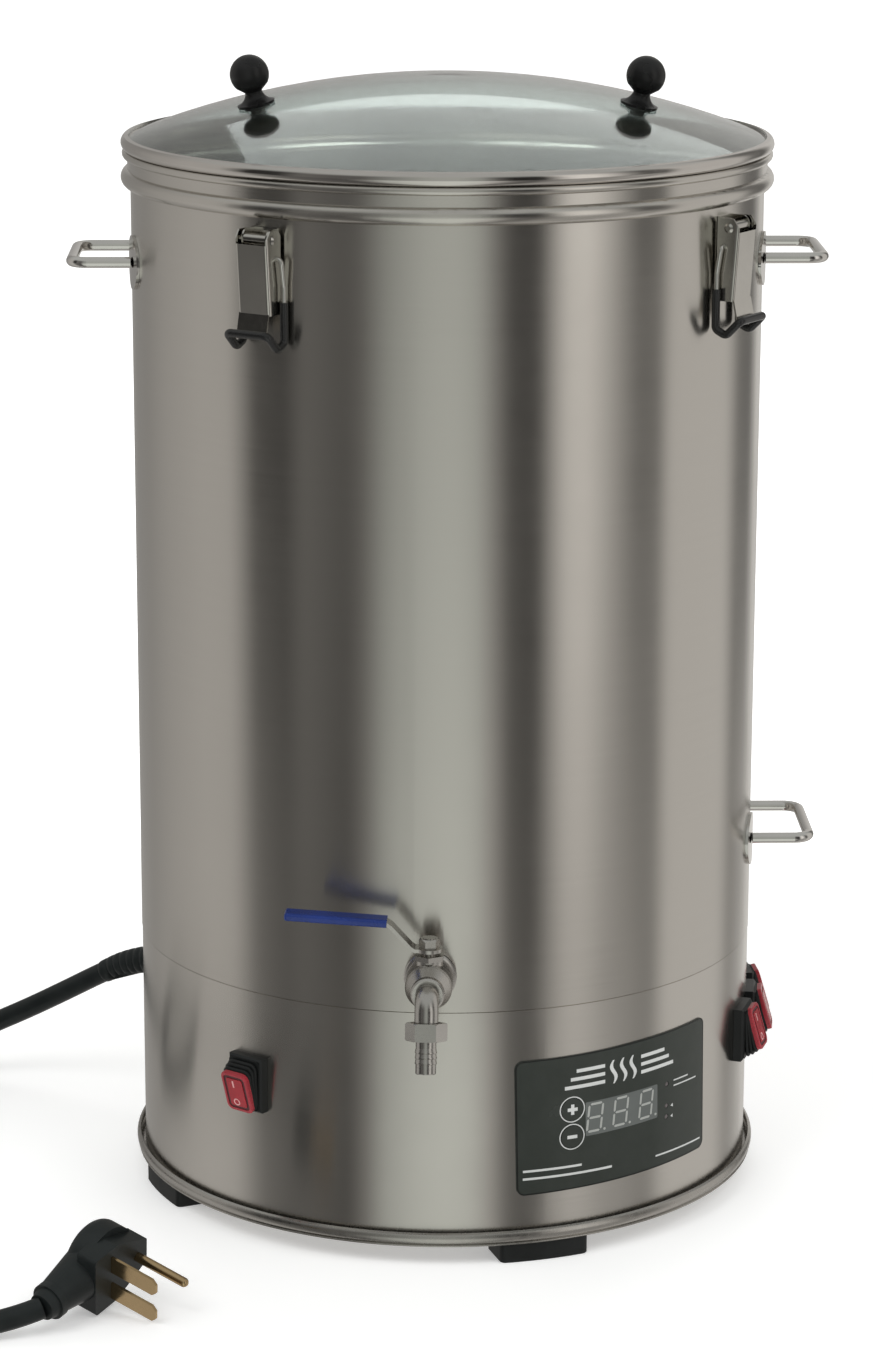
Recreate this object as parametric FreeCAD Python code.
import FreeCAD, Part
import math
import os

from FreeCAD import Vector

# Brew kettle: a 60 litre single-wall electric boiler with a glass lid, a ball-valve tap,
# four draw latches, three carrying handles, a control panel and four rocker switches.
#
# Frame: millimetres, origin on the pot's axis at the floor under the feet, +Z up, the tap at the
# front (-Y), +X to the right of somebody who faces the tap.
# A piece on the pot's side is modelled at the front, where outwards is -Y, and then turned about
# the axis by its azimuth: 0 is the front, positive goes to the right.

# ---------------------------------------------------------------- driving dimensions
SHELL_R = 200.2          # pot wall, outside
SHEET = 1.0              # stainless sheet
SKIRT_R = 199.9          # base skirt, outside
FOOT_H = 12.4            # feet, which lift the bottom pan this far
SEAM_Z = 165.0           # lower edge of the pot wall
FLOOR_Z = 171.0          # underside of the pot's floor
NECK_Z = 661.2           # top of the second bead
BEAD_Z = 670.7           # centre of the rolled top bead
BEAD_TUBE_R = 2.7
LID_Z = 673.75           # underside of the lid's rim
DOME_R = 548.0           # glass dome, outside sphere
DOME_TOP = 718.4
GLASS = 3.5

TAP_Z = 190.0            # tap axis
BALL_Y = -218.0          # centre of the tap's ball
OUTLET_Y = -250.0        # where the outlet's axis meets the tap's
OUTLET_LEAN = 14.0       # the outlet points down and this much outwards

HANDLE_AZ = 94.0
HANDLE_Z = 607.8         # right upper handle
LEFT_HANDLE_Z = 605.2    # welded on a little lower than the right one
LOW_HANDLE_Z = 228.4
HANDLE_W = 76.0          # between the legs
HANDLE_OUT = 236.5       # axis of the grip from the pot's axis
ROD_R = 3.5

LATCH_AZ = [-30.0, 60.0, 150.0, 240.0]
PIN_Y, PIN_Z = -209.5, 638.7        # lever pin, seen at the front
BAIL_Y, BAIL_Z = -206.0, 627.5      # wire bail's pivot in the lever

PANEL_AZ = 36.6
PANEL_Z = 88.6
PANEL_W, PANEL_H = 146.0, 88.4
PANEL_T = 0.8
PANEL_LEAN = 1.2         # the film is stuck on a little askew, its right end high
BUTTON_AZ = 25.9
BUTTON_Z = [96.4, 78.4]             # plus, minus
BUTTON_R = 7.4
DISPLAY_Z, DISPLAY_W, DISPLAY_H = 88.9, 56.0, 22.4
LED_AZ = 47.0
LED_Z = [98.5, 84.0, 76.7]

SWITCH_AZ = [-35.0, 76.0, 87.1, 98.2]
SWITCH_Z = 105.4
SWITCH_TILT = [16.5, -16.5, -16.5, -16.5]   # at rest: the first has its foot pressed, the rest their head
ROCKER_Y = -200.2                           # rocker's trunnion, seen at the front

FOOT_AZ = [20.8, 116.5, 200.8, 296.5]
FOOT_W, FOOT_D, FOOT_R = 58.0, 30.0, 203.4

KNOB_AZ = [-67.5, 72.5]
KNOB_REACH = 126.0       # knob's foot from the lid's axis

GLAND_AZ, GLAND_Z = -115.0, 100.0
CORD_R = 7.0

Z_AXIS = Vector(0, 0, 1)
ORIGIN = Vector(0, 0, 0)


# ---------------------------------------------------------------- helpers
def save(name, *solids):
    """Write the solids as one sub-part."""
    shape = solids[0] if len(solids) == 1 else Part.makeCompound(list(solids))
    bad = [s for s in shape.Solids if not s.isValid() or s.Volume <= 0]
    print(f"{name:22s} solids {len(shape.Solids):2d}  volume {shape.Volume / 1000:9.2f} cm3"
          + ("  INVALID" if bad or not shape.Solids else ""))
    shape.exportStep(f"parts/{name}.step")


def turned(shape, azimuth):
    """A piece modelled at the front, moved round the pot to its azimuth."""
    copy = shape.copy()
    copy.rotate(ORIGIN, Z_AXIS, azimuth)
    return copy


def profile(steps):
    """A closed outline in the XZ plane. A step is a point, or an arc given as (through, end)."""
    edges = []
    here = start = Vector(steps[0][0], 0, steps[0][1])
    for step in steps[1:]:
        if isinstance(step[0], tuple):
            through, end = (Vector(p[0], 0, p[1]) for p in step)
            edges.append(Part.Arc(here, through, end).toShape())
            here = end
        else:
            end = Vector(step[0], 0, step[1])
            edges.append(Part.LineSegment(here, end).toShape())
            here = end
    if here.distanceToPoint(start) > 1e-6:
        edges.append(Part.LineSegment(here, start).toShape())
    return Part.Face(Part.Wire(edges))


def revolved(steps):
    """A body of revolution about the pot's axis from (radius, height) steps."""
    return profile(steps).revolve(ORIGIN, Z_AXIS, 360)


def tap_turned(steps):
    """A body of revolution about the tap's axis from (y, radius) steps."""
    flat = profile(steps)
    flat.rotate(ORIGIN, Z_AXIS, 90)
    solid = flat.revolve(ORIGIN, Vector(0, 1, 0), 360)
    solid.translate(Vector(0, 0, TAP_Z))
    return solid


def upright(radius, low, high, x=0.0, y=0.0):
    return Part.makeCylinder(radius, high - low, Vector(x, y, low))


def radial(radius, inner_y, outer_y, z, x=0.0):
    """A cylinder that points out of the front, from inner_y to outer_y."""
    return Part.makeCylinder(radius, inner_y - outer_y, Vector(x, inner_y, z), Vector(0, -1, 0))


def cross(radius, left, right, y, z):
    """A cylinder along X."""
    return Part.makeCylinder(radius, right - left, Vector(left, y, z), Vector(1, 0, 0))


def block(x0, x1, y0, y1, z0, z1):
    return Part.makeBox(x1 - x0, y1 - y0, z1 - z0, Vector(x0, y0, z0))


def mid_block(width, y0, y1, z, height, corner=0.0):
    """A block centred on the front's middle line, with its edges along Y rounded."""
    solid = block(-width / 2, width / 2, y0, y1, z - height / 2, z + height / 2)
    if corner:
        edges = [e for e in solid.Edges if abs(e.BoundBox.YLength - (y1 - y0)) < 1e-6]
        solid = solid.makeFillet(corner, edges)
    return solid


def ring_wall(inner, outer, low, high):
    return upright(outer, low, high).cut(upright(inner, low - 1, high + 1))


def hex_bar(across, length, base, direction, turn=0.0):
    """A hexagonal bar that starts at base and runs along direction."""
    corner = across / math.sqrt(3)
    points = [Vector(corner * math.cos(math.radians(60 * k + turn)),
                     corner * math.sin(math.radians(60 * k + turn)), 0) for k in range(7)]
    bar = Part.Face(Part.makePolygon(points)).extrude(Vector(0, 0, length))
    bar.Placement = FreeCAD.Placement(base, FreeCAD.Rotation(Z_AXIS, direction))
    return bar


def rounded_path(points, radii):
    """Straight runs through the points, joined by tangent arcs of the given radii."""
    edges = []
    here = points[0]
    for k in range(1, len(points) - 1):
        corner = points[k]
        back = (points[k - 1] - corner).normalize()
        ahead = (points[k + 1] - corner).normalize()
        half = back.getAngle(ahead) / 2
        reach = radii[k - 1] / math.tan(half)
        start, end = corner + back * reach, corner + ahead * reach
        bisector = (back + ahead).normalize()
        through = corner + bisector * (radii[k - 1] / math.sin(half) - radii[k - 1])
        if here.distanceToPoint(start) > 1e-6:
            edges.append(Part.LineSegment(here, start).toShape())
        edges.append(Part.Arc(start, through, end).toShape())
        here = end
    edges.append(Part.LineSegment(here, points[-1]).toShape())
    return Part.Wire(edges)


def swept_rod(wire, radius, hollow=0.0):
    """A round rod or tube along a wire."""
    first = wire.OrderedEdges[0]
    start = first.valueAt(first.FirstParameter)
    ahead = first.tangentAt(first.FirstParameter)
    if first.Orientation == "Reversed":
        start, ahead = first.valueAt(first.LastParameter), first.tangentAt(first.LastParameter) * -1
    rod = None
    for size in (radius, hollow):
        if size:
            section = Part.Wire(Part.makeCircle(size, start, ahead))
            piece = wire.makePipeShell([section], True, False)
            rod = piece if rod is None else rod.cut(piece)
    return rod


# ---------------------------------------------------------------- pot and base
def boiler_shell():
    r, w = SHELL_R, SHEET
    shell = revolved([
        (r, SEAM_Z), (r, 650.2),
        ((206.2, 655.8), (202.0, NECK_Z)),
        (202.0, 668.07),
        ((203.72, 673.16), (201.0, 668.53)),
        (201.0, 660.6),
        ((205.2, 655.8), (r - w, 650.9)),
        (r - w, SEAM_Z),
    ])
    return shell.cut(radial(10.7, -190, -210, TAP_Z))


def boiler_floor():
    return upright(SHELL_R - SHEET, FLOOR_Z, FLOOR_Z + 1.5)


def switch_opening(azimuth):
    return turned(mid_block(22.6, -206, -192, SWITCH_Z, 31.0), azimuth)


def base_skirt():
    r, w = SKIRT_R, SHEET
    tuck = SHELL_R - SHEET
    skirt = revolved([
        (r, FOOT_H + 1.25), (r, SEAM_Z - 0.6), (tuck, SEAM_Z - 0.1), (tuck, FLOOR_Z),
        (tuck - w, FLOOR_Z), (tuck - w, SEAM_Z - 0.6), (r - w, SEAM_Z - 1.6), (r - w, FOOT_H + 1.25),
    ])
    skirt = skirt.cut(turned(mid_block(112, -206, -170, PANEL_Z, 52, 4), PANEL_AZ))
    for azimuth in SWITCH_AZ:
        skirt = skirt.cut(switch_opening(azimuth))
    return skirt.cut(turned(radial(8.2, -190, -210, GLAND_Z), GLAND_AZ))


RESET_X, RESET_Y = 0.0, 60.0
CUTOUT_TOP = 50.0


def bottom_pan():
    low = FOOT_H
    pan = revolved([
        (0, low), (203.9, low), ((204.5, low + 0.6), (203.9, low + 1.2)), (203.4, low + 1.7),
        (204.6, low + 2.5), ((205.5, low + 5.2), (204.6, low + 8.2)), (203.2, low + 9.0),
        (202.6, low + 8.2), (203.8, low + 7.2), ((204.4, low + 5.2), (203.4, low + 3.2)),
        (202.2, low + 2.4), (201.6, low + 1.2), (0, low + 1.2),
    ])
    pan = pan.cut(upright(5.0, low - 1, low + 3, RESET_X, RESET_Y))
    for azimuth in FOOT_AZ:
        pan = pan.cut(turned(upright(2.7, low - 1, low + 3, 0, -FOOT_R + FOOT_D / 2), azimuth))
    for row in range(3):
        for column in range(5):
            slot = block(-60 + 28 * column, -48 + 28 * column, -70 + 12 * row, -66 + 12 * row, low - 1, low + 3)
            pan = pan.cut(slot)
    return pan


def rubber_foot(azimuth):
    solid = block(-FOOT_W / 2, FOOT_W / 2, -FOOT_R, -FOOT_R + FOOT_D, 0, FOOT_H)
    solid = solid.common(upright(FOOT_R, 0, FOOT_H))
    solid = solid.makeFillet(4.0, [e for e in solid.Edges if abs(e.BoundBox.ZLength - FOOT_H) < 1e-6])
    solid = solid.makeChamfer(0.6, [e for e in solid.Edges if e.BoundBox.ZMax < 1e-6])
    hole_y = -FOOT_R + FOOT_D / 2
    solid = solid.cut(upright(5.2, -1, 6.0, 0, hole_y)).cut(upright(2.7, -1, FOOT_H + 1, 0, hole_y))
    return turned(solid, azimuth)


def foot_screw(azimuth):
    y = -FOOT_R + FOOT_D / 2
    screw = upright(2.5, 6.0, 24.0, 0, y).fuse(upright(4.6, 3.0, 6.0, 0, y))
    screw = screw.cut(hex_bar(3.0, 2.0, Vector(0, y, 2.9), Z_AXIS))
    nut = hex_bar(8.0, 4.0, Vector(0, y, FOOT_H + 1.25), Z_AXIS).cut(upright(2.5, 10, 30, 0, y))
    return turned(screw.fuse(nut), azimuth)


# ---------------------------------------------------------------- heating, inside the base
SPREADER_LOW = 165.6


def heat_spreader():
    return upright(168, SPREADER_LOW, FLOOR_Z - 0.05)


def heating_element(radius, opening_az):
    """An open ring of tubular element with two terminals turned down."""
    z = SPREADER_LOW - 4.05
    gap = math.degrees(16.0 / radius)
    ring = Part.makeTorus(radius, 4.0, Vector(0, 0, z), Z_AXIS, -180, 180, 360 - 2 * gap)
    ring.rotate(ORIGIN, Z_AXIS, gap)
    pins = [upright(4.0, z - 22, z, radius * math.cos(math.radians(a)), radius * math.sin(math.radians(a)))
            for a in (gap, -gap)]
    solid = ring.fuse(pins)
    solid.rotate(ORIGIN, Z_AXIS, opening_az)
    return solid


def temperature_probe():
    """A sensor button pressed under the spreader's middle, with its lead-out sleeve."""
    button = upright(7.0, SPREADER_LOW - 6.05, SPREADER_LOW - 0.05)
    stem = upright(2.5, SPREADER_LOW - 22, SPREADER_LOW - 6.05)
    return button.fuse(stem)


def thermal_cutout():
    """A capillary cut-out on the bottom pan, and its bulb clipped under the spreader."""
    low = FOOT_H + 1.25
    case = block(RESET_X - 16, RESET_X + 16, RESET_Y - 14, RESET_Y + 14, low, CUTOUT_TOP)
    case = case.makeFillet(2.0, [e for e in case.Edges if e.BoundBox.ZLength > 20])
    case = case.cut(upright(3.1, low - 1, low + 14, RESET_X, RESET_Y))
    case = case.cut(upright(4.6, low + 5.2, low + 10, RESET_X, RESET_Y))
    path = rounded_path(
        [Vector(0, RESET_Y, CUTOUT_TOP - 1), Vector(0, RESET_Y, 120), Vector(0, 30, 120), Vector(0, 30, 155)],
        [8.0, 8.0])
    tube = swept_rod(path, 1.2)
    bulb = upright(3.5, 150, SPREADER_LOW - 0.05, 0, 30)
    return [case.fuse(tube).fuse(bulb)]


def reset_button():
    low = FOOT_H + 1.25
    stem = upright(3.0, FOOT_H - 1.6, low + 9, RESET_X, RESET_Y)
    collar = upright(4.4, low + 5.4, low + 6.8, RESET_X, RESET_Y)
    return stem.fuse(collar)


# ---------------------------------------------------------------- control panel
def on_panel(width, y0, y1, z, height, corner):
    """A rounded block at the panel's azimuth, with the panel's lean."""
    solid = mid_block(width, y0, y1, z, height, corner)
    solid.rotate(Vector(0, 0, PANEL_Z), Vector(0, 1, 0), -PANEL_LEAN)
    return turned(solid, PANEL_AZ)


def control_panel():
    r = SKIRT_R + 0.05
    panel = on_panel(PANEL_W, -215, -150, PANEL_Z, PANEL_H, 5.0).common(ring_wall(r, r + PANEL_T, 30, 145))
    panel = panel.cut(on_panel(DISPLAY_W + 0.1, -206, -190, DISPLAY_Z, DISPLAY_H + 0.1, 1.0))
    for z in BUTTON_Z:
        panel = panel.cut(turned(radial(BUTTON_R + 0.35, -190, -210, z), BUTTON_AZ))
    for z in LED_Z:
        panel = panel.cut(turned(radial(1.65, -190, -210, z), LED_AZ))
    return panel


def display_window():
    r = SKIRT_R + 0.05
    pane = ring_wall(r, r + PANEL_T - 0.1, 60, 120)
    return pane.common(on_panel(DISPLAY_W, -206, -190, DISPLAY_Z, DISPLAY_H, 1.0))


BOARD_Y = -176.0


def display_module():
    """The three-digit block on the board, with three lamps beside it."""
    digits = mid_block(50, -194, BOARD_Y - 0.8, DISPLAY_Z, 19)
    for k in range(3):
        digits = digits.cut(block(-21.5 + 15 * k, -9.5 + 15 * k, -194.1, -193.4, DISPLAY_Z - 8, DISPLAY_Z + 8))
    lamps = []
    reach = SKIRT_R * math.sin(math.radians(LED_AZ - PANEL_AZ))
    for z in LED_Z:
        lamp = radial(1.5, BOARD_Y - 0.8, -196.3, z, reach)
        lamps.append(lamp)
    return [turned(s, PANEL_AZ) for s in [digits] + lamps]


def controller_board():
    board = mid_block(108, BOARD_Y - 0.75, BOARD_Y + 0.85, PANEL_Z, 48)
    relay_case = block(18, 46, BOARD_Y + 0.85, BOARD_Y + 12, PANEL_Z - 14, PANEL_Z + 10)
    terminal = block(-46, -16, BOARD_Y + 0.85, BOARD_Y + 10, PANEL_Z - 18, PANEL_Z - 8)
    switches = [block(-39, -32, BOARD_Y - 5.0, BOARD_Y - 0.7, z - 3.5, z + 3.5) for z in BUTTON_Z]
    return turned(board.fuse([relay_case, terminal] + switches), PANEL_AZ)


def controller_case():
    outer = mid_block(122, -188.5, -150, PANEL_Z, 62, 4)
    inner = mid_block(116, -190, -152, PANEL_Z, 56, 3)
    return turned(outer.cut(inner), PANEL_AZ)


def panel_button(z):
    """A key on the panel, with a stem that reaches the board's switch."""
    r = SKIRT_R + 0.05 + PANEL_T + 0.35
    cap = radial(BUTTON_R, -198.0, -206.0, z).common(ring_wall(150, r, 60, 120))
    cap = cap.fuse(radial(2.5, -186.0, -198.5, z))
    return turned(cap, BUTTON_AZ)


def wiring_harness():
    """Bundled leads: gland to controller, controller to elements, switches to elements."""
    gland = turned(Part.Vertex(0, -184.0, GLAND_Z), GLAND_AZ).Point
    case_low = turned(Part.Vertex(-20, -146.0, PANEL_Z), PANEL_AZ).Point
    case_high = turned(Part.Vertex(35, -148.0, PANEL_Z + 12), PANEL_AZ).Point
    switches = turned(Part.Vertex(0, -160, SWITCH_Z), SWITCH_AZ[2]).Point
    supply = swept_rod(rounded_path([gland, Vector(-90, 20, 100), Vector(20, -40, 92), case_low], [40, 40]), 4.5)
    feed = swept_rod(rounded_path([case_high, Vector(92, -72, 104), Vector(92, -60, 138)], [9]), 3.0)
    other = swept_rod(rounded_path([switches, Vector(120, 6, 106), Vector(60, 30, 112), Vector(48, 34, 138)], [18, 9]),
                      3.0)
    return [supply, feed, other]


# ---------------------------------------------------------------- rocker switches
HOUSING_W, HOUSING_H = 26.6, 35.2
HOUSING_Y = -205.9       # housing's front face, seen at the front
BOOT_Y = -206.7          # front of the boot's stiff foot
LENS_BACK, LENS_Y = -211.7, -214.5
LENS_W, LENS_H = 20.9, 28.4
TRUNNION_R = 2.0


def switch_housing(azimuth):
    """The snap-in body, its front flange, and the well and bearings for the rocker."""
    face = mid_block(HOUSING_W, HOUSING_Y, -199.2, SWITCH_Z, HOUSING_H)
    front_edges = [e for e in face.Edges if e.BoundBox.YMax < HOUSING_Y + 1e-6]
    face = face.makeChamfer(1.2, front_edges)
    face = face.cut(upright(SKIRT_R + 0.05, 60, 150))
    barrel = mid_block(22.0, -203.0, -176, SWITCH_Z, 30.0)
    tabs = [block(x - 0.4, x + 0.4, -176, -168, SWITCH_Z + dz - 3.1, SWITCH_Z + dz + 3.1)
            for x in (-5.0, 5.0) for dz in (-9.0, 0.0, 9.0)]
    well = mid_block(14.0, HOUSING_Y - 1, -194.5, SWITCH_Z, 20.0)
    bearings = cross(TRUNNION_R + 0.06, -8.3, 8.3, ROCKER_Y, SWITCH_Z)
    return turned(face.fuse([barrel] + tabs).cut(well).cut(bearings), azimuth)


def switch_boot(azimuth):
    """The rubber boot's foot, a flat frame round the rocker's neck."""
    outer = mid_block(24.0, BOOT_Y, HOUSING_Y - 0.02, SWITCH_Z, 32.6, 2.5)
    hole = mid_block(10.5, BOOT_Y - 1, HOUSING_Y + 1, SWITCH_Z, 14.5, 1.0)
    return turned(outer.cut(hole), azimuth)


def switch_rocker(azimuth, tilt):
    """The red lens with a groove round its lit field, its neck and its trunnions."""
    lens = mid_block(LENS_W, LENS_Y, LENS_BACK, SWITCH_Z, LENS_H, 4.5)
    lens = lens.makeFillet(0.8, [e for e in lens.Edges if e.BoundBox.YMax < LENS_Y + 0.01])
    groove = mid_block(LENS_W - 4.2, LENS_Y - 1, LENS_Y + 0.5, SWITCH_Z, LENS_H - 4.2, 3.0)
    groove = groove.cut(mid_block(LENS_W - 8.0, LENS_Y - 2, LENS_Y + 1, SWITCH_Z, LENS_H - 8.0, 1.5))
    neck = mid_block(8.0, LENS_BACK - 0.5, ROCKER_Y, SWITCH_Z, 8.0)
    rocker = lens.cut(groove).fuse([neck, cross(TRUNNION_R, -8.1, 8.1, ROCKER_Y, SWITCH_Z)])
    rocker.rotate(Vector(0, ROCKER_Y, SWITCH_Z), Vector(1, 0, 0), tilt)
    return turned(rocker, azimuth)


# ---------------------------------------------------------------- handles
def handle(z):
    half = HANDLE_W / 2
    path = rounded_path(
        [Vector(-half, -199, z), Vector(-half, -HANDLE_OUT, z), Vector(half, -HANDLE_OUT, z), Vector(half, -199, z)],
        [10.0, 10.0])
    return swept_rod(path, ROD_R).cut(upright(SHELL_R + 1.9, z - 20, z + 20))


def handle_plate(z, side):
    """A round plate welded to the wall under a handle's leg."""
    lean = side * math.degrees(math.asin(HANDLE_W / 2 / SHELL_R))
    disc = radial(17.0, -190, -210, z).common(ring_wall(SHELL_R + 0.02, SHELL_R + 1.88, z - 20, z + 20))
    return turned(disc, lean)


# ---------------------------------------------------------------- draw latches
EAR_X = 8.0              # inside faces of the bracket's ears
EAR_T = 1.2
LEVER_X = 10.6           # inside faces of the lever's sides
LEVER_T = 1.1
LEVER_BACK = -202.0      # rear edges of the lever's sides


def latch_bracket():
    plate = block(-9.2, 9.2, -201.5, -200.25, 597, 645)
    ears = []
    for x in (-EAR_X - EAR_T, EAR_X):
        ear = block(x, x + EAR_T, -212.4, -200.3, 630, 644.7)
        edges = [e for e in ear.Edges if e.BoundBox.XLength > 1.0 and e.BoundBox.YMax < -212.3]
        ears.append(ear.makeFillet(5.0, edges))
    bracket = plate.fuse(ears)
    return bracket.cut(cross(1.96, -20, 20, PIN_Y, PIN_Z))


def latch_pin():
    """The riveted pin and the spacer tube round its middle."""
    pin = cross(1.95, -12.6, 12.6, PIN_Y, PIN_Z)
    heads = [Part.makeCone(3.1, 1.7, 1.15, Vector(side * 11.95, PIN_Y, PIN_Z), Vector(side, 0, 0)) for side in (-1, 1)]
    spacer = cross(3.4, -7.8, 7.8, PIN_Y, PIN_Z)
    return pin.fuse(heads + [spacer])


def lever_channel(half_width, inset, corner):
    """The lever's side outline drawn across its width; its front leans in towards the foot."""
    outline = [(LEVER_BACK, 594.0), (LEVER_BACK, 641.0), (-204.5, 644.5), (-212.5, 644.5),
               (-216.6 + inset, 638.5), (-213.4 + inset, 594.0)]
    if inset:
        outline = [(-195.0, 590.0), (-195.0, 650.0), (-212.5, 650.0), (-216.6 + inset, 638.5), (-213.1 + inset, 590.0)]
    points = [Vector(-half_width, y, z) for y, z in outline + outline[:1]]
    solid = Part.Face(Part.makePolygon(points)).extrude(Vector(2 * half_width, 0, 0))
    front_edges = [e for e in solid.Edges if e.BoundBox.XLength < 1e-6 and e.BoundBox.ZLength > 40
                   and e.BoundBox.YMax < -205]
    return solid.makeFillet(corner, front_edges)


def latch_lever():
    """A folded channel with rounded corners, open behind and round its pin, and a flared foot."""
    half = LEVER_X + LEVER_T
    channel = lever_channel(half, 0.0, 2.4).cut(lever_channel(LEVER_X, LEVER_T, 1.3))
    channel = channel.cut(block(-LEVER_X, LEVER_X, -220.0, -205.0, 636.2, 650.0))
    foot = Part.Face(Part.makePolygon([Vector(-half + 1, y, z) for y, z in (
        (-212.3, 595.0), (-213.4, 595.0), (-216.4, 581.5), (-215.3, 581.3), (-212.3, 595.0))]))
    lever = channel.fuse(foot.extrude(Vector(2 * half - 2, 0, 0)))
    lever = lever.cut(cross(2.0, -20, 20, PIN_Y, PIN_Z))
    return lever.cut(cross(1.56, -20, 20, BAIL_Y, BAIL_Z))


LEG_X = 14.8             # bail's legs from the latch's middle


def bail_path():
    side = [
        Vector(9.5, BAIL_Y, BAIL_Z), Vector(LEG_X, BAIL_Y, BAIL_Z), Vector(LEG_X, -203.4, 611.0),
        Vector(LEG_X, -203.2, 577.0), Vector(LEG_X, -210.5, 573.6), Vector(LEG_X, -220.3, 583.2),
    ]
    other = [Vector(-p.x, p.y, p.z) for p in reversed(side)]
    return side + other, [3.0, 8.0, 3.5, 3.5, 3.2]


def latch_bail():
    """The wire bail, thicker where a rubber sleeve is moulded over its lower half."""
    points, radii = bail_path()
    wire = swept_rod(rounded_path(points, radii + radii[::-1]), 1.5)
    low = [Vector(LEG_X, -203.29, 601.5)] + points[3:9] + [Vector(-LEG_X, -203.29, 601.5)]
    low_radii = radii[2:] + radii[2:][::-1]
    return wire.fuse(swept_rod(rounded_path(low, low_radii), 2.5))


# ---------------------------------------------------------------- tap
def valve_bulkhead():
    return tap_turned([(-184, 7.0), (-184, 9.9), (-185, 10.3), (-206.4, 10.3), (-206.4, 7.0)])


def valve_locknut():
    return hex_bar(27, 6.0, Vector(0, -196.05, TAP_Z), Vector(0, 1, 0), 30).cut(radial(10.32, -180, -200, TAP_Z))


def valve_seals():
    inner = tap_turned([(-196.1, 10.35), (-196.1, 15.0), (-198.5, 15.0), (-198.5, 10.35)])
    outer = tap_turned([(-200.3, 10.75), (-200.3, 15.0), (-202.8, 15.0), (-202.8, 10.75)])
    seats = [tap_turned([(BALL_Y + s * 8.9, 6.6), (BALL_Y + s * 8.9, 9.0), (BALL_Y + s * 11.4, 9.0),
                         (BALL_Y + s * 11.4, 6.6)]).cut(Part.makeSphere(10.56, Vector(0, BALL_Y, TAP_Z)))
             for s in (-1, 1)]
    return [inner, outer] + seats


def valve_body():
    """A compact ball-valve body with a wide back flange, a cone nose and a stem boss."""
    body = tap_turned([
        (-202.85, 0.0), (-202.85, 15.4), (-203.6, 16.2), (-206.4, 16.2), (-207.2, 15.4), (-208.0, 14.4),
        (-227.0, 14.4), (-229.0, 13.6), (-236.0, 10.2), (-240.0, 10.2), (-241.0, 9.2), (-241.0, 0.0),
    ])
    boss = upright(8.4, TAP_Z + 9, 206.5, 0, BALL_Y).fuse(
        hex_bar(17.0, 3.2, Vector(0, BALL_Y, 205.6), Z_AXIS, 30))
    body = body.fuse(boss)
    body = body.cut(Part.makeSphere(10.6, Vector(0, BALL_Y, TAP_Z)))
    body = body.cut(tap_turned([(BALL_Y - 11.45, 0.0), (BALL_Y - 11.45, 9.02), (BALL_Y + 11.45, 9.02),
                                (BALL_Y + 11.45, 0.0)]))
    body = body.cut(tap_turned([(-200, 0.0), (-200, 6.6), (-232.0, 6.6), (-232.0, 7.25), (-242, 7.25), (-242, 0.0)]))
    body = body.cut(tap_turned([(-200, 0.0), (-200, 10.33), (-206.42, 10.33), (-206.42, 0.0)]))
    return body.cut(upright(4.06, TAP_Z, 212, 0, BALL_Y))


def valve_ball():
    ball = Part.makeSphere(10.5, Vector(0, BALL_Y, TAP_Z))
    ball = ball.cut(cross(6.0, -12, 12, BALL_Y, TAP_Z))
    return ball.cut(block(-1.6, 1.6, BALL_Y - 12, BALL_Y + 12, TAP_Z + 8.6, TAP_Z + 12))


def valve_stem():
    stem = upright(4.0, TAP_Z + 10.6, 219.3, 0, BALL_Y)
    tang = block(-1.5, 1.5, BALL_Y - 3.4, BALL_Y + 3.4, TAP_Z + 8.7, TAP_Z + 11)
    return stem.fuse(tang)


LEVER_Z = 210.9          # underside of the lever's flat eye
GRIP_START = Vector(-25.7, BALL_Y, 228.8)
GRIP_END = Vector(-88.0, BALL_Y, 232.4)


def strip(points, width, thick):
    """A flat strip bent along points in the XZ plane, centred on the stem's Y."""
    upper = []
    lower = []
    for k, p in enumerate(points):
        ahead = points[min(k + 1, len(points) - 1)] - points[max(k - 1, 0)]
        ahead = ahead.normalize()
        normal = Vector(-ahead.z, 0, ahead.x)
        if normal.z < 0:
            normal = normal * -1
        upper.append(Vector(p.x, BALL_Y - width / 2, p.z) + normal * (thick / 2))
        lower.append(Vector(p.x, BALL_Y - width / 2, p.z) - normal * (thick / 2))
    outline = upper + lower[::-1]
    return Part.Face(Part.makePolygon(outline + [outline[0]])).extrude(Vector(0, width, 0))


def valve_lever():
    thick = 2.2
    middle = LEVER_Z + thick / 2
    bent = [Vector(0, BALL_Y, middle), Vector(-8.6, BALL_Y, middle), Vector(-11.4, BALL_Y, middle + 1.8),
            Vector(-23.2, BALL_Y, 226.7), Vector(-26.2, BALL_Y, 228.85), GRIP_END + Vector(1.5, 0, 0)]
    arm = strip(bent, 11.0, thick)
    eye = upright(8.2, LEVER_Z, LEVER_Z + thick, 0, BALL_Y)
    return arm.fuse(eye).cut(upright(4.02, 200, 230, 0, BALL_Y))


def valve_lever_sleeve():
    """The dipped vinyl grip over the lever's outer part."""
    run = GRIP_END - GRIP_START
    length = run.Length
    grip = Part.makeBox(length, 13.0, 5.0, Vector(0, -6.5, -2.5))
    grip = grip.makeFillet(1.9, [e for e in grip.Edges if e.BoundBox.XLength > length - 1])
    grip = grip.makeFillet(1.6, [e for e in grip.Edges if e.BoundBox.XMin > length - 1e-3])
    grip.Placement = FreeCAD.Placement(GRIP_START, FreeCAD.Rotation(Vector(1, 0, 0), run))
    return grip.cut(valve_lever())


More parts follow.
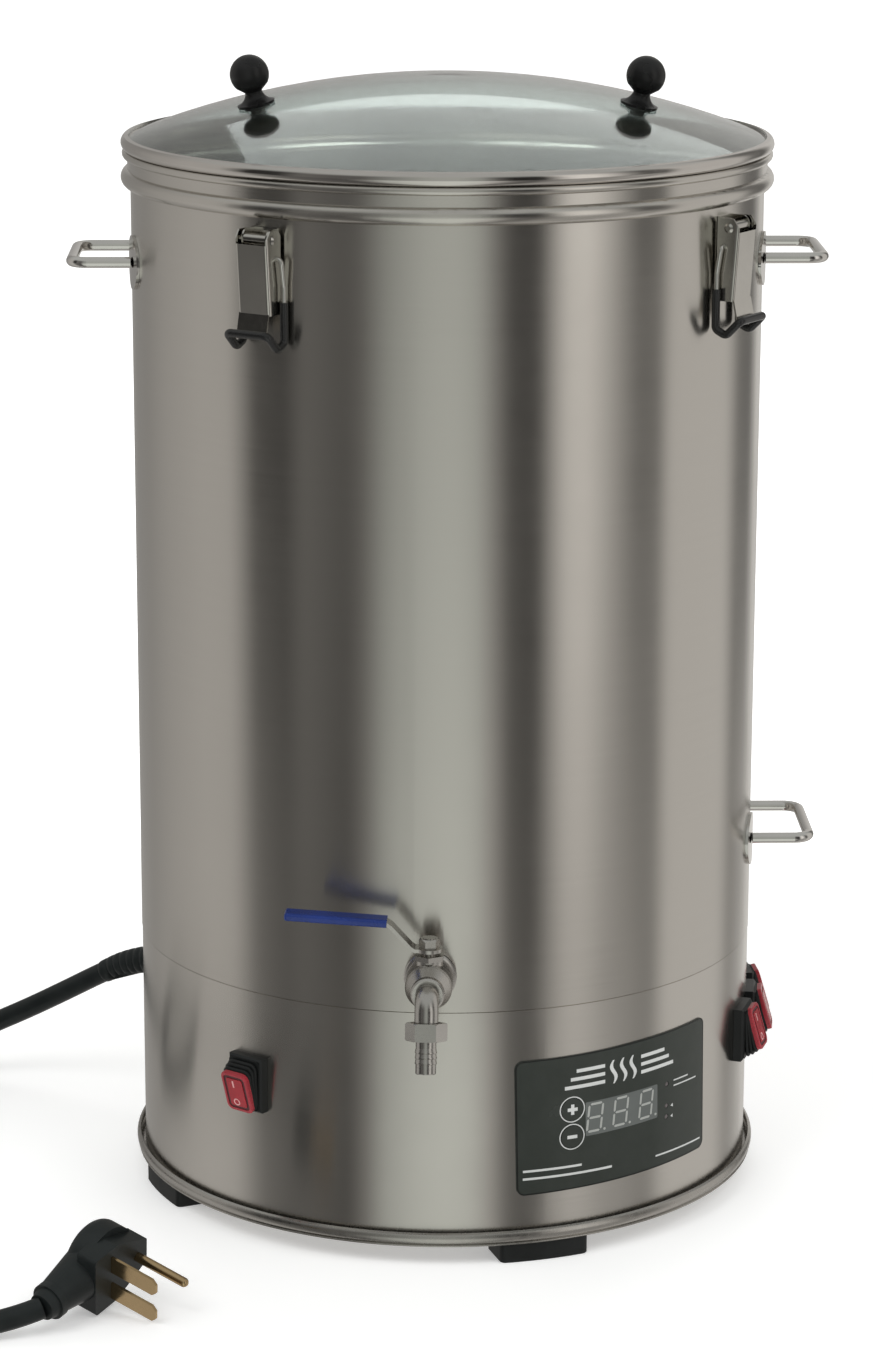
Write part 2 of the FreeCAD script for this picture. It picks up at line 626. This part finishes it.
def valve_lever_nut():
    low = LEVER_Z + 2.2
    nut = hex_bar(11.2, 5.8, Vector(0, BALL_Y, low), Z_AXIS, 10)
    dome = revolved([(0, low), (5.9, low), (6.45, low + 0.8), (6.45, low + 4.6), (5.2, low + 5.8), (0, low + 5.8)])
    dome.translate(Vector(0, BALL_Y, 0))
    return nut.common(dome).cut(upright(4.0, low - 1, low + 8, 0, BALL_Y))


def leaned(shape):
    """An outlet piece, modelled upright below the tap's axis, turned out by the outlet's lean."""
    copy = shape.copy()
    copy.rotate(Vector(0, OUTLET_Y, TAP_Z), Vector(1, 0, 0), -OUTLET_LEAN)
    return copy


def outlet_elbow():
    corner = Vector(0, OUTLET_Y, TAP_Z)
    lean = math.radians(OUTLET_LEAN)
    end = corner + Vector(0, -math.sin(lean), -math.cos(lean)) * (TAP_Z - 168.3)
    elbow = swept_rod(rounded_path([Vector(0, -232.05, TAP_Z), corner, end], [9.5]), 7.2, 5.0)
    thread = upright(9.5, 168.3, 175.4, 0, OUTLET_Y).cut(upright(7.0, 160, 180, 0, OUTLET_Y))
    return elbow.fuse(leaned(thread))


def outlet_nut():
    low, high = 165.4, 176.3
    nut = hex_bar(22.2, high - low, Vector(0, OUTLET_Y, low), Z_AXIS, 0)
    crown = revolved([(0, low), (11.9, low), (12.9, low + 0.8), (12.9, high - 0.8), (11.9, high), (0, high)])
    crown.translate(Vector(0, OUTLET_Y, 0))
    nut = nut.common(crown)
    nut = nut.cut(upright(9.52, 167.0, 180, 0, OUTLET_Y))
    return leaned(nut.cut(upright(6.6, 160, 170, 0, OUTLET_Y)))


TAIL_R = 6.2
TAIL_LOW = 145.4


def hose_tail():
    steps = [(4.6, TAIL_LOW), (TAIL_R - 0.5, TAIL_LOW), (TAIL_R, TAIL_LOW + 0.5), (TAIL_R, TAIL_LOW + 6.0)]
    for k in range(3):
        low = TAIL_LOW + 6.0 + 3.2 * k
        steps += [(TAIL_R + 0.45, low + 0.3), (TAIL_R + 0.45, low + 1.0), (TAIL_R, low + 3.2)]
    steps += [(TAIL_R, 167.05), (9.2, 167.05), (9.2, 168.25), (4.6, 168.25)]
    tail = revolved(steps)
    tail.translate(Vector(0, OUTLET_Y, 0))
    return leaned(tail)


# ---------------------------------------------------------------- lid
def dome_height(reach, radius=DOME_R):
    """Height of a dome's surface at a distance from the axis; both glass faces share a centre."""
    return DOME_TOP - DOME_R + math.sqrt(radius ** 2 - reach ** 2)


def on_knob_axis(shape, azimuth):
    """A knob piece, modelled upright at the origin, set on the glass at its azimuth."""
    lean = math.degrees(math.asin(KNOB_REACH / DOME_R))
    copy = shape.copy()
    copy.translate(Vector(0, 0, DOME_R))
    copy.rotate(ORIGIN, Vector(1, 0, 0), lean)
    copy.translate(Vector(0, 0, DOME_TOP - DOME_R))
    return turned(copy, azimuth)


def lid_glass():
    edge = 203.2
    outer, inner = DOME_R, DOME_R - GLASS
    half = edge / 2
    glass = revolved([
        (0, DOME_TOP), ((half, dome_height(half)), (edge, dome_height(edge))),
        (edge, dome_height(edge, inner)), ((half, dome_height(half, inner)), (0, DOME_TOP - GLASS)),
    ])
    hole = upright(4.2, -10, 10)
    for azimuth in KNOB_AZ:
        glass = glass.cut(on_knob_axis(hole, azimuth))
    return glass


def lid_rim():
    z = LID_Z
    return revolved([
        (198.0, z - 7.5), (199.1, z - 7.5), (199.1, z), (204.3, z),
        ((206.0, z + 4.0), (203.9, z + 7.7)), (201.3, z + 8.2), (201.1, z + 6.5),
        (203.3, z + 5.75), (203.3, z + 1.6), (198.0, z + 1.3),
    ])


KNOB_R = 12.2
KNOB_CENTRE = 19.4


def lid_knob():
    """A moulded ball that tapers into a neck."""
    neck = 5.4
    meet = 35.0
    touch = (KNOB_R * math.cos(math.radians(-meet)), KNOB_CENTRE + KNOB_R * math.sin(math.radians(-meet)))
    return revolved([
        (0, 7.0), (neck, 7.0), (neck, 8.6), touch,
        ((KNOB_R * math.cos(math.radians(27)), KNOB_CENTRE + KNOB_R * math.sin(math.radians(27))),
         (0, KNOB_CENTRE + KNOB_R)),
    ]).cut(upright(2.5, 6, 16))


def lid_knob_seat():
    """The flared foot between the glass and the knob."""
    seat = revolved([
        (2.6, 0.35), (11.6, 0.05), (11.8, 1.6), ((7.2, 4.2), (5.6, 7.0)), (2.6, 7.0),
    ])
    return seat


def lid_knob_screw():
    head_top = -GLASS - 0.1
    washer = upright(8.0, head_top - 1.2, head_top).cut(upright(2.6, -8, 0))
    head = upright(4.5, head_top - 4.0, head_top - 1.2)
    return head.fuse([upright(2.5, head_top - 1.3, 15.5), washer])


# ---------------------------------------------------------------- mains cord
def cord_gland():
    base = hex_bar(25.0, 6.0, Vector(0, -199.95, GLAND_Z), Vector(0, -1, 0))
    base = base.cut(upright(SKIRT_R + 0.05, 80, 120))
    nut = radial(12.0, -205.9, -217.0, GLAND_Z)
    cone = Part.makeCone(12.0, 8.6, 7.0, Vector(0, -217.0, GLAND_Z), Vector(0, -1, 0))
    shank = radial(8.1, -188, -200.2, GLAND_Z)
    locknut = hex_bar(22.0, 4.0, Vector(0, -194.4, GLAND_Z), Vector(0, -1, 0))
    return turned(base.fuse([nut, cone, shank, locknut]), GLAND_AZ)


# The route's points, chosen by hand. The first stretch leaves the gland, droops to the floor and
# meets the coil. The second leaves the coil and comes round to the plug.
EXIT = turned(Part.Vertex(0, -224.0, GLAND_Z), GLAND_AZ).Point
OUT_ROUTE = [
    EXIT, Vector(-222, 102, 96.5), Vector(-245, 110.5, 83.4), Vector(-270, 119.5, 67.8), Vector(-299, 127.2, 51.0),
    Vector(-330, 130.5, 36.0), Vector(-368, 124, 17.5), Vector(-414, 109.5, 7.4),
]
COIL_CENTRE = Vector(-412, 32, 0)
COIL_R = 77.0            # middle of the turns
BACK_ROUTE = [
    Vector(-488.5, 28, 7.2), Vector(-484.4, -71, 7.2), Vector(-463, -170, 7.2), Vector(-419, -258, 7.2),
    Vector(-362, -316, 7.2), Vector(-306, -338.5, 7.2), Vector(-252, -331, 8.4),
]

# The plug: pins point along PLUG_N, the blades are spaced along PLUG_S and the earth pin is
# offset along PLUG_T, opposite to the cord's entry.
PLUG_FACE = Vector(-188.0, -290.7, 24.3)      # middle of the two blades, on the plug's face
PLUG_N = Vector(0.830, -0.509, -0.228)
PLUG_T = Vector(0.555, 0.796, 0.242)
BLADE_GAP = 20.6
EARTH_OFFSET = 23.9
BLADE_L, EARTH_L = 35.0, 39.5


def plug_frame():
    """The plug's placement: local X along the pins, local Y towards the earth pin."""
    n = Vector(PLUG_N).normalize()
    t = (PLUG_T - n * PLUG_T.dot(n)).normalize()
    s = n.cross(t)
    matrix = FreeCAD.Matrix(n.x, t.x, s.x, PLUG_FACE.x, n.y, t.y, s.y, PLUG_FACE.y,
                            n.z, t.z, s.z, PLUG_FACE.z, 0, 0, 0, 1)
    return FreeCAD.Placement(matrix)


def placed(shape):
    copy = shape.copy()
    copy.Placement = plug_frame().multiply(copy.Placement)
    return copy


PLUG_ENTRY = Vector(-15.0, -47.0, 0.0)        # middle of the strain relief's end, in the plug's frame


def plug_body():
    """A right-angle moulded plug: a face block that narrows to the earth pin, a domed head and a neck."""
    outline = [(-15.0, -21.5), (5.0, -21.5), (33.0, -9.0), (33.0, 9.0), (5.0, 21.5), (-15.0, 21.5)]
    points = [Vector(-14.5, t, s) for t, s in outline + outline[:1]]
    face = Part.Face(Part.makePolygon(points)).extrude(Vector(14.5, 0, 0))
    face = face.makeFillet(2.5, [e for e in face.Edges if e.BoundBox.XLength > 14.0])
    head = Part.makeCylinder(23.5, 18.0, Vector(-29.0, 8.5, 0), Vector(1, 0, 0))
    head = head.makeFillet(8.0, [e for e in head.Edges if e.BoundBox.XMax < -28.9])
    neck = Part.makeCone(11.0, 17.5, 36.0, Vector(-15.5, -36.0, 0), Vector(0, 1, 0))
    neck = neck.cut(Part.makeBox(10, 60, 60, Vector(-0.5, -40, -30)))
    ring = Part.makeCylinder(11.8, 5.0, Vector(-15.0, -41.0, 0), Vector(0, 1, 0))
    relief = Part.makeCone(8.6, 10.2, 6.2, Vector(PLUG_ENTRY), Vector(0, 1, 0))
    return placed(face.fuse([head, neck, ring, relief]))


def plug_pins():
    """Two flat blades with chamfered tips and a round earth pin."""
    half = 6.0
    pins = []
    for z in (-BLADE_GAP / 2, BLADE_GAP / 2):
        outline = [Vector(0.05, 0, z - half), Vector(BLADE_L - 3, 0, z - half), Vector(BLADE_L, 0, z - half + 3),
                   Vector(BLADE_L, 0, z + half - 3), Vector(BLADE_L - 3, 0, z + half),
                   Vector(0.05, 0, z + half), Vector(0.05, 0, z - half)]
        blade = Part.Face(Part.makePolygon(outline)).extrude(Vector(0, 1.8, 0))
        blade.translate(Vector(0, -0.9, 0))
        pins.append(placed(blade))
    earth = Part.makeCylinder(3.0, EARTH_L - 3.05, Vector(0.05, EARTH_OFFSET, 0), Vector(1, 0, 0))
    tip = Part.makeSphere(3.0, Vector(EARTH_L - 3, EARTH_OFFSET, 0))
    pins.append(placed(earth.fuse(tip)))
    return pins


def cord_tube(name, points):
    """The cord along its route: each arc is as large as its two runs allow."""
    radii = []
    for k in range(1, len(points) - 1):
        back, ahead = points[k - 1] - points[k], points[k + 1] - points[k]
        turn = math.pi - back.getAngle(ahead)
        radii.append(0.45 * min(back.Length, ahead.Length) / math.tan(turn / 2))
    runs = [round((b - a).Length) for a, b in zip(points, points[1:])]
    wire = rounded_path(points, radii)
    tube = swept_rod(wire, CORD_R)
    expected = math.pi * CORD_R ** 2 * wire.Length
    print(f"{name}: length {wire.Length:.0f}, runs {runs}, radii {[round(r) for r in radii]}, "
          f"volume ratio {tube.Volume / expected:.4f}")
    return tube


def cord_coil():
    """The outer shape of a neat coil: two turns side by side and a third on top."""
    low = 0.2
    inner, outer = COIL_R - 15.0, COIL_R + 15.0
    ring = revolved([
        (inner, low + 5), ((inner + 1.5, low + 1.5), (inner + 5, low)), (outer - 5, low),
        ((outer - 1.5, low + 1.5), (outer, low + 5)), (outer, low + 12), (COIL_R + 7, 28.0),
        (COIL_R - 7, 28.0), (inner, low + 12),
    ])
    ring.translate(COIL_CENTRE)
    return ring


# ---------------------------------------------------------------- build
def main():
    os.makedirs("parts", exist_ok=True)

    save("boiler_shell", boiler_shell())
    save("boiler_floor", boiler_floor())
    save("base_skirt", base_skirt())
    save("bottom_pan", bottom_pan())
    save("rubber_feet", *[rubber_foot(a) for a in FOOT_AZ])
    save("foot_screws", *[foot_screw(a) for a in FOOT_AZ])

    save("heat_spreader", heat_spreader())
    save("heating_elements", *[heating_element(r, a) for r, a in ((62, 90), (98, 210), (134, 330))])
    save("temperature_probe", temperature_probe())
    save("thermal_cutout", *thermal_cutout())
    save("reset_button", reset_button())

    save("control_panel", control_panel())
    save("display_window", display_window())
    save("display_module", *display_module())
    save("controller_board", controller_board())
    save("controller_case", controller_case())
    save("wiring_harness", *wiring_harness())
    for name, z in zip(("button_plus", "button_minus"), BUTTON_Z):
        save(name, panel_button(z))

    save("switch_housings", *[switch_housing(a) for a in SWITCH_AZ])
    save("switch_boots", *[switch_boot(a) for a in SWITCH_AZ])
    for k, (azimuth, tilt) in enumerate(zip(SWITCH_AZ, SWITCH_TILT), 1):
        save(f"switch_rocker_{k}", switch_rocker(azimuth, tilt))

    handles = ((HANDLE_AZ - 180, LEFT_HANDLE_Z), (HANDLE_AZ, HANDLE_Z), (HANDLE_AZ, LOW_HANDLE_Z))
    save("handles", *[turned(handle(z), a) for a, z in handles])
    save("handle_plates", *[turned(handle_plate(z, side), a) for a, z in handles for side in (-1, 1)])

    save("latch_brackets", *[turned(latch_bracket(), a) for a in LATCH_AZ])
    save("latch_pins", *[turned(latch_pin(), a) for a in LATCH_AZ])
    for k, azimuth in enumerate(LATCH_AZ, 1):
        save(f"latch_lever_{k}", turned(latch_lever(), azimuth))
        save(f"latch_bail_{k}", turned(latch_bail(), azimuth))

    save("valve_bulkhead", valve_bulkhead())
    save("valve_locknut", valve_locknut())
    save("valve_seals", *valve_seals())
    save("valve_body", valve_body())
    save("valve_ball", valve_ball())
    save("valve_stem", valve_stem())
    save("valve_lever", valve_lever())
    save("valve_lever_sleeve", valve_lever_sleeve())
    save("valve_lever_nut", valve_lever_nut())
    save("outlet_elbow", outlet_elbow())
    save("outlet_nut", outlet_nut())
    save("hose_tail", hose_tail())

    save("lid_glass", lid_glass())
    save("lid_rim", lid_rim())
    save("lid_knobs", *[on_knob_axis(lid_knob(), a) for a in KNOB_AZ])
    save("lid_knob_seats", *[on_knob_axis(lid_knob_seat(), a) for a in KNOB_AZ])
    save("lid_knob_screws", *[on_knob_axis(lid_knob_screw(), a) for a in KNOB_AZ])

    save("cord_gland", cord_gland())
    entry = plug_frame().multVec(PLUG_ENTRY)
    save("power_cord", cord_tube("cord out", OUT_ROUTE), cord_tube("cord back", BACK_ROUTE + [entry]))
    save("cord_coil", cord_coil())
    save("plug_body", plug_body())
    save("plug_pins", *plug_pins())


main()
